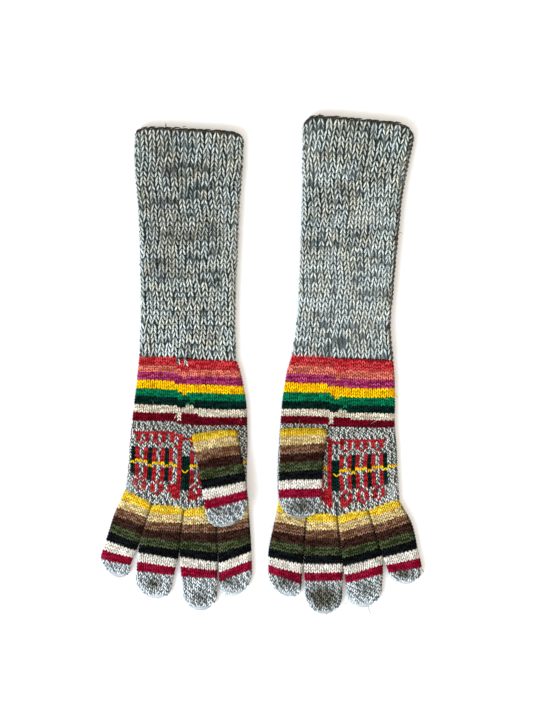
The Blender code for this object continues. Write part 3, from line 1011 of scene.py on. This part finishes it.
# How a hand differs from the other: courses before and after the chart, stitches round the chart,
# the first column's number, the courses where the green of its first columns starts and ends, the
# columns of the palm that are charted, how far round its courses start, with 0 at the left fold,
# how late they bend, and from which one on stray stitches show.
HandPlan = namedtuple("HandPlan", "before after count first_column block charted jog hem_power "
                                  "strays_from")
HAND_PLANS = {
    "left": HandPlan(4, 3, 58, 13, (8, 19), (1, 18), 0.195, 1.4, 0),
    "right": HandPlan(5, 2, 62, 14, (8, 17), (10, 27), 0.215, 2.6, 2),
}
# How much taller the charted courses grow towards the fingers, how far the last one runs past the
# hand's end, and how far in the shell starts and ends, in millimetres.
COURSE_GROWTH = 0.03
HAND_OVERRUN_MM = 0.6
HAND_RIM_MM = 0.3
# Stitches at the jog that kept the colour of the course above or took that of the course below:
# the course, how far from the jog, and the stripe whose wool it is, from 0 for the grey.
STRAY_STITCHES = {
    (0, 0): 0, (1, 0): 0, (0, 2): 0, (1, 2): 0,
    (3, 1): 1, (3, 2): 1, (6, 1): 2, (9, -1): 3,
    (12, 1): 4, (15, 3): 5, (16, 2): 5, (17, 3): 7, (17, 2): 7,
    (20, 1): 8, (20, 2): 8, (20, 3): 8, (21, 0): 7, (22, 0): 7, (20, 4): 8,
}

HAND_SPOTS = {
    "left": (
        Spot(15, 269.5, 60, 5, 0.3),
        Spot(-54, 324, 5, 8.5, -0.4),
    ),
    "right": (
        Spot(-48, 274, 16, 4, 0.35),
        Spot(39.5, 339, 4.5, 9, -0.35),
    ),
}
HAND_CLOTH = Cloth(Leg(0.09, 0.40, 1.42, 0.70, 0.66, 1.3, 0.3, 3.7, 5.0), 2.2, 1.15, 0.5, 5, 4)
HAND_SEED = 23

WRIST_YARNS = spin({
    "grey_ragg_wool": ("#dfe3e1", "#3a4240", 0.7, 8.1, -0.14),
    "coral_wool": ("#d74850", "#a51921"),
    "salmon_wool": ("#e98878", "#b85648"),
    "plum_wool": ("#b9487d", "#83164a", 0.6),
    "gold_wool": ("#f6dc00", "#f4ae00"),
    "green_wool": ("#008e63", "#005938"),
    "dark_green_wool": ("#06312c", "#001411"),
    "cream_wool": ("#efebdc", "#beb5a0", 0.6),
    "crimson_wool": ("#800724", "#52000d"),
    "red_wool": ("#c6323c", "#8e151e", 0.6),
})
WRIST_ORDER = list(WRIST_YARNS)
CHART_YARNS = {"g": "grey_ragg_wool", "r": "red_wool", "d": "dark_green_wool", "y": "gold_wool"}
# The course of the palm's gold line, and the one from which the red bars close below.
GOLD_COURSE = 11
BAR_COURSES = 18


def chart_letter(plan, course, column):
    """The yarn of one stitch of the chart, with the tall red bar beside its first columns."""
    off = column - plan.first_column
    first, last = plan.charted
    if column < plan.count / 2 and not first <= column <= last:
        return "y" if column > last and course == GOLD_COURSE else "g"
    if off == -1 and course > 0:
        return "r"
    if off in (-1, -2) and course >= BAR_COURSES + 1:
        return "r"
    if off in (2, 3) and course >= BAR_COURSES + off:
        return "r"
    away = -off if off < 0 else max(off - 1, 0)
    if off in (0, 1):
        start, end = plan.block
        return "r" if course == 1 else "d" if start <= course <= end else "g"
    return CHART[course][away % 4]


def hand_yarn(plan, course, column):
    """The number of a stitch's yarn in WRIST_ORDER."""
    if course < STRIPED_COURSES:
        past_jog = column - math.ceil(plan.jog * STRIPE_COUNT - 0.5)
        own = 1 + course // COURSES_PER_STRIPE
        return STRAY_STITCHES.get((course, past_jog), own) if course >= plan.strays_from else own
    row = course - STRIPED_COURSES - plan.before
    if 0 <= row < len(CHART):
        return WRIST_ORDER.index(CHART_YARNS[chart_letter(plan, row, column)])
    return 0


def hem_of(side, lines):
    """How much further down than its last line a hand ends, at x."""
    xs, downs = zip(*FINGER_LINE[side])
    last = lines[-1]

    def hem(x):
        straight = np.interp(x, (last.left, last.right), (last.left_down, last.right_down))
        return np.interp(x, xs, downs) - straight

    return hem


for number, side in enumerate(("left", "right")):
    plan = HAND_PLANS[side]
    stripes_end = sum(STRIPE_MM[side])
    form = make_form(side, HAND_LINES[side], hem=hem_of(side, HAND_LINES[side]), hem_from=stripes_end,
                     hem_power=plan.hem_power)
    # The lines give the hand's right fold painted shade.
    soil_and_shade_at = soil_and_shade_map(side, HAND_SPOTS[side], HAND_LINES[side])
    rng = np.random.default_rng(HAND_SEED + number)
    charted = plan.before + len(CHART) + plan.after
    rest = (form.length - stripes_end - FIRST_STRIPE_MM[side] + HAND_OVERRUN_MM) / charted
    stripe_heights = np.repeat(STRIPE_MM[side], COURSES_PER_STRIPE) / COURSES_PER_STRIPE
    growth = np.linspace(1 - COURSE_GROWTH, 1 + COURSE_GROWTH, charted)
    heights = np.concatenate((stripe_heights, rest * growth))
    downs = FIRST_STRIPE_MM[side] + np.cumsum(heights) - heights / 2
    counts = [STRIPE_COUNT] * STRIPED_COURSES + [plan.count] * charted
    rows = knit_rows(rng, downs, heights, counts,
                     lambda course, column, count: hand_yarn(plan, course, column),
                     jog=plan.jog, yarn_mm=10.5)
    edges = np.concatenate(([HAND_RIM_MM], downs + heights / 2))
    edges = np.clip(edges, HAND_RIM_MM, form.length - HAND_RIM_MM)
    knit_piece(side + "_hand", form, rows, HAND_CLOTH, edges, plan.count,
               form.length, soil_and_shade_at, WRIST_YARNS, rng)

# The thumbs
# Each is picked up round a slit in the palm, knitted as a closed tube in eight colours with a grey
# tip, and lies turned down over the palm with its root bent.

# How high a thumb lies above the table, and how far its underside is from the line that its root
# turns round.
THUMB_BASE = 7.2
THUMB_TURN_MM = 0.3
THUMBS = {
    "left": (
        (
            Across(4.4, 282.6, 45.4, 278.6, 5.8),
            Across(10.2, 310.5, 50.3, 305, 5.8),
            Across(15.8, 343, 53.8, 335.5, 5.8),
        ),
        Tip(35, 360.5),
    ),
    "right": (
        (
            Across(-62, 287.1, -20.3, 287.1, 5.8),
            Across(-63, 311.5, -23.3, 311.5, 5.8),
            Across(-63.5, 341, -25.2, 341, 5.8),
        ),
        Tip(-44, 362),
    ),
}
# How much a finger swells in its middle, its cloth, and where its courses start: underneath. The
# bands are the courses of each colour, and the count is the stitches in a course.
FINGER_CROWN = 1.0
FINGER_CLOTH = Cloth(Leg(0.09, 0.40, 1.42, 0.68, 0.64, 1.25, 0.3, 3.6, 5.0), 2.0, 1.1, 0.5, 5, 4)
FINGER_JOG = 0.75
THUMB_SEED = 37
THUMB_COUNT = 24
THUMB_BANDS = (4, 3, 3, 3, 3, 3, 3, 3)
THUMB_COURSE_MM = {"left": 2.85, "right": 2.67}
# The spots below zero at the tips are worn pale, and painted highlight where the cool window lights
# them.
THUMB_SPOTS = {
    "left": (
        Spot(30, 345, 8, 5, 0.6),
        Spot(43, 347, 6, 7, 0.25),
        Spot(34, 358.5, 14, 4, -0.25),
    ),
    "right": (
        Spot(-42.5, 350.5, 13, 8, 0.9),
        Spot(-46, 361.5, 14, 3, -0.55),
    ),
}

BAND_YARNS = spin({
    "grey_ragg_tip_wool": ("#e7f0f5", "#59666e", 0.7, 7.3, 0.1),
    "yellow_wool": ("#f0dc4c", "#dcae0c"),
    "tan_wool": ("#e9dda9", "#be9f66"),
    "light_brown_wool": ("#94725d", "#5d3b22"),
    "dark_brown_wool": ("#452e28", "#280c04"),
    "olive_wool": ("#545f42", "#242d11"),
    "black_wool": ("#12191d", "#000002"),
    "ecru_wool": ("#f2f2ef", "#d6d1c7"),
    "wine_wool": ("#a41642", "#7c001c"),
})

# Painted shade in the crease where a finger's right side lies beside the next: how much darker,
# how far round from the fold, and how far down.
CREASE_PAINTED_SHADE = -0.35
CREASE_TURN = 0.05
CREASE_MM = 45.0
# How far short of the tip's point the courses end, the fewest stitches in one, where the shell
# starts, how far over the tip it runs, and the least height of its last face.
TIP_SLACK_MM = 0.4
TIP_LEAST_COUNT = 6
FINGER_RIM_MM = 0.2
TIP_CAP = 0.97
LAST_FACE_MM = 0.5


def knit_finger(node, form, start, course_mm, bands, count, soil_and_shade_at, rng, hidden_below=False):
    """One thumb or finger, closed at its tip: bands of three or four courses, then a grey tip with
    fewer and fewer stitches. bands gives the number of courses of each colour."""
    whole = start + form.length + form.reach
    courses = int((whole - TIP_SLACK_MM) / course_mm)
    heights = np.full(courses, course_mm)
    downs = np.cumsum(heights) - heights / 2
    over = np.clip((downs - start - form.length) / form.reach, 0, TIP_END)
    counts = 2 * np.round(count * np.sqrt(1 - over**2) / 2)
    counts = np.maximum(counts, TIP_LEAST_COUNT).astype(int)
    colours = np.repeat(np.arange(1, len(bands) + 1), bands)
    colours = np.concatenate((colours, np.zeros(max(courses - len(colours), 0), int)))
    rows = knit_rows(rng, downs, heights, counts, lambda course, column, total: colours[course],
                     jog=FINGER_JOG)
    # Painted shade on the right side of each finger, in the crease.
    crease_shade = CREASE_PAINTED_SHADE * np.exp(-((rows.turn - 0.5) / CREASE_TURN) ** 2)
    crease_shade = crease_shade / (1 + np.exp(rows.down - CREASE_MM))
    rows = rows._replace(light=rows.light + crease_shade)
    end = start + form.length + TIP_CAP * form.reach
    edges = np.concatenate(([FINGER_RIM_MM], downs + heights / 2))
    edges = np.append(edges[edges < end - LAST_FACE_MM], end)
    knit_piece(node, form, rows, FINGER_CLOTH, edges, 2 * count, end, soil_and_shade_at,
               BAND_YARNS, rng, hidden_below=hidden_below)


for number, side in enumerate(("left", "right")):
    lines, tip = THUMBS[side]
    form = make_form(side, lines, tip=tip, elbow=THUMB_TURN_MM, base=THUMB_BASE, crown=FINGER_CROWN)
    start = (THUMB_TURN_MM + lines[0].height) * math.pi / 2
    # The lines give the thumb's right fold painted shade.
    knit_finger(side + "_thumb", form, start, THUMB_COURSE_MM[side], THUMB_BANDS, THUMB_COUNT,
                soil_and_shade_map(side, THUMB_SPOTS[side], lines), np.random.default_rng(THUMB_SEED + number),
                hidden_below=True)

# The fingers
# Each is picked up along the end of the hand and knitted as a closed tube in the same eight
# colours as the thumb, three courses of each, and ends in a grey tip.

# The line between two fingers, which starts on FINGER_LINE: its middle, and where they part.
Crease = namedtuple("Crease", "middle_x middle_down parting_x parting_down")
# A finger: where its tip starts to round on both sides, its end, where its last band ends, how
# much further down its courses are on the left than the solid's lines, at three places, and the
# grime on its tip.
Finger = namedtuple("Finger", "name left left_down right right_down tip_x tip_down bands_end "
                              "middle_lean parting_lean shoulder_lean grime")
CREASES = {
    "left": (
        Crease(-66.5, 349, -72, 366.5),
        Crease(-38.5, 358, -43.5, 374.5),
        Crease(-5.5, 362, -7.5, 381.5),
        Crease(26.5, 363.5, 27, 387),
        Crease(56, 361, 57.5, 384.5),
    ),
    "right": (
        Crease(-68.5, 369, -73.5, 396),
        Crease(-39.5, 376, -41, 400.5),
        Crease(-8, 380.5, -5.5, 405),
        Crease(24, 376, 30, 396.5),
        Crease(56, 364.5, 61.5, 388),
    ),
}
FINGERS = {
    "left": (
        Finger("little", -79, 388, -51.5, 392.5, -63.5, 406.5, 393.2, -0.8, -1.5, -1.6,
               Spot(-62, 394, 7, 4, 0.1)),
        Finger("ring", -47, 407, -14, 410.5, -29.5, 425.5, 403.2, 0, 0, 0,
               Spot(-30.5, 411, 6, 5.5, 0.95)),
        Finger("middle", -4.5, 419.5, 26.5, 419.5, 11.5, 436.5, 407, 0, 0, 0,
               Spot(12, 423, 7, 6, 0.7)),
        Finger("index", 28, 406, 58, 405, 42.5, 423, 405.4, 1.4, 3.2, 4,
               Spot(35.5, 409.5, 8, 4.5, 0.9)),
    ),
    "right": (
        Finger("index", -72.5, 415.5, -43, 417.5, -59, 431.5, 417.2, 0.6, -2, -5.5,
               Spot(-58, 418, 9.5, 6.5, 0.85)),
        Finger("middle", -40, 426.5, -6, 429.5, -23, 448.5, 419.1, 1.7, 2, 0.7,
               Spot(-24, 432, 14, 10.5, 1.3)),
        Finger("ring", -2, 426.5, 29.5, 425.5, 13, 442.5, 417.1, 1.7, 0, 1.5,
               Spot(17, 424.5, 9, 6.5, 0.45)),
        Finger("little", 34.5, 407.5, 65, 402.5, 52.5, 421.5, 409.6, -1.7, -0.5, -0.6,
               Spot(48, 411.5, 11, 4.5, 1)),
    ),
}
# Half the gap between two fingers, then how tall a finger is, its stitches in a course and its bands.
HALF_GAP = 0.15
FINGER_HEIGHT = 6.0
FINGER_COUNT = 20
FINGER_BANDS = (3,) * 8
FINGER_SEEDS = {"left": 41, "right": 53}


def finger_lines(side, index, finger):
    """The four lines of a finger, from its root to where its tip starts to round."""
    folds = []
    for place, own in ((index, (finger.left_down, finger.left)),
                       (index + 1, (finger.right_down, finger.right))):
        crease = CREASES[side][place]
        folds.append((FINGER_LINE[side][place][::-1], (crease.middle_down, crease.middle_x),
                      (crease.parting_down, crease.parting_x), own))
    lefts, rights = folds
    leans = (0.0, finger.middle_lean, finger.parting_lean, finger.shoulder_lean)
    lines = []
    for (left_down, left), (right_down, right), lean in zip(lefts, rights, leans):
        left_down += lean
        right_down -= lean
        left = np.interp(left_down, *zip(*lefts))
        right = np.interp(right_down, *zip(*rights))
        lines.append(Across(left + HALF_GAP, left_down, right - HALF_GAP, right_down, FINGER_HEIGHT))
    return lines


for side in ("left", "right"):
    for index, finger in enumerate(FINGERS[side]):
        lines = finger_lines(side, index, finger)
        form = make_form(side, lines, tip=Tip(finger.tip_x, finger.tip_down), crown=FINGER_CROWN)
        middles = [(line.left_down + line.right_down) / 2 for line in lines]
        bands_mm = np.interp(finger.bands_end, middles, form.knots)
        bands_mm = bands_mm + max(finger.bands_end - middles[-1], 0)
        half = (finger.right - finger.left) / 2
        # A finger's end is worn pale, and so is its left side just before it; both are also painted
        # highlight where the cool window lights them.
        worn_and_lit_end = Spot(finger.tip_x - 2, finger.tip_down - 1, 0.85 * half, 4.5, -0.8)
        side_down = 0.4 * finger.left_down + 0.6 * finger.tip_down
        worn_and_lit_side = Spot(finger.left + 0.25 * half, side_down, 4.5, 5.5, -0.6)
        # The lines give the finger's right fold painted shade, which deepens the crease.
        knit_finger(side + "_" + finger.name, form, 0.0, bands_mm / sum(FINGER_BANDS), FINGER_BANDS,
                    FINGER_COUNT, soil_and_shade_map(side, (finger.grime, worn_and_lit_end, worn_and_lit_side), lines),
                    np.random.default_rng(FINGER_SEEDS[side] + index))

# The yarn ends
# Where a colour starts or stops, its end was left long and darned in loosely, so that a few tails
# and tufts show at the mouths, the jogs and the tips. A gold V is sewn on each green block.

# A tail: where it leaves the knitting, how high, which way it points (0 to the right, 90 towards
# the fingertips), how much it bends, its length and half thickness, and its wool.
Tail = namedtuple("Tail", "x down height degrees bend length half_thick wool")
TAILS = {
    "left": (
        Tail(-19.5, 2.5, 6, -97, 10, 5, 0.55, "two_ply_ragg_wool"),
        Tail(-5, 2, 7, -60, 70, 3.5, 0.5, "two_ply_ragg_wool"),
        Tail(-10, 258.5, 7, 100, 30, 4.5, 0.6, "cream_wool"),
        Tail(-13.5, 274, 6.9, 35, 60, 5, 0.5, "red_wool"),
        Tail(2, 276, 7.2, 60, -50, 5.5, 0.45, "cream_wool"),
        Tail(4.5, 283, 9, 190, 40, 3.5, 0.6, "yellow_wool"),
        Tail(4, 241.5, 7, 80, 60, 4, 0.4, "green_wool"),
        Tail(27, 380, 5.5, 95, 20, 4, 0.4, "black_wool"),
        Tail(53, 356.5, 8, 50, 30, 3.5, 0.35, "grey_ragg_tip_wool"),
        Tail(-5.7, 308.3, 7, 45, 0, 4.6, 0.75, "gold_wool"),
        Tail(0.8, 308.3, 7, 135, 0, 4.6, 0.75, "gold_wool"),
    ),
    "right": (
        Tail(-36, 4.5, 6, -100, 20, 3.5, 0.55, "two_ply_ragg_wool"),
        Tail(-28, 1, 6, -70, 30, 3.5, 0.55, "two_ply_ragg_wool"),
        Tail(43, 104, 5, 5, 25, 5, 0.25, "two_ply_ragg_wool"),
        Tail(-18, 266.5, 7, 95, 40, 4.5, 0.6, "cream_wool"),
        Tail(19, 276.5, 7.1, -35, 10, 8, 0.16, "cream_wool"),
        Tail(-22, 290, 7.1, 60, 50, 4.5, 0.45, "red_wool"),
        Tail(40.5, 250.5, 6, 15, 40, 4, 0.4, "gold_wool"),
        Tail(-21, 446.5, 3, 60, 30, 5, 0.5, "grey_ragg_tip_wool"),
        Tail(17, 440, 3, 82, -15, 8, 0.5, "grey_ragg_wool"),
        Tail(-2, 437, 3, 150, 20, 3.5, 0.35, "grey_ragg_tip_wool"),
        Tail(65, 407, 4.5, 20, 80, 3.5, 0.4, "wine_wool"),
        Tail(-14.7, 320.6, 7, 45, 0, 4.6, 0.75, "gold_wool"),
        Tail(-8.3, 320.6, 7, 135, 0, 4.6, 0.75, "gold_wool"),
    ),
}
ALL_YARNS = {**CUFF_YARNS, **WRIST_YARNS, **BAND_YARNS}

TAIL_SIDES, TAIL_RINGS = 5, 6
# How far below its given height a tail starts, how high it arches over how much of a half turn, its
# yarn and what lies between two, in millimetres, how dark it is, and how soiled the ragg ones are.
TAIL_ROOT = 0.5
TAIL_ARCH, TAIL_ARCH_SHARE = 1.3, 0.8
TAIL_YARN_MM, TAIL_STEP_MM = 5.0, 3.0
TAIL_LIGHT = -0.25
TAIL_SOIL = 0.5

names = list(ALL_YARNS)
place = leg_places(TAIL_RINGS)
for side in ("left", "right"):
    lines = []
    for tail in TAILS[side]:
        heading = np.radians(tail.degrees + tail.bend * place)
        steps = np.diff(place, prepend=0.0) * tail.length
        x = tail.x + np.cumsum(steps * np.cos(heading))
        down = tail.down + np.cumsum(steps * np.sin(heading))
        up = tail.height - TAIL_ROOT + TAIL_ARCH * np.sin(math.pi * TAIL_ARCH_SHARE * place)
        lines.append(np.column_stack((x, -down, up)) + glove_origin(side))
    centre = np.array(lines)
    across = np.cross(np.gradient(centre, axis=1), (0.0, 0.0, 1.0))
    half = np.array([tail.half_thick for tail in TAILS[side]])[:, None, None, None]
    points = spindles(centre, across, half, half, TAIL_SIDES)
    wools = np.array([names.index(tail.wool) for tail in TAILS[side]])
    ragg = np.repeat(wools, points.shape[1]) == names.index("two_ply_ragg_wool")
    batch = spindle_batch(points, TAIL_SIDES, wools, np.full(len(wools), TAIL_LIGHT),
                          np.where(ragg, TAIL_SOIL, 0.0), TAIL_STEP_MM * np.arange(len(wools)),
                          TAIL_YARN_MM)
    tails = knit_mesh(side + "_yarn_ends", batch, bake_cells(batch), ALL_YARNS.values())
    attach(tails, "root")
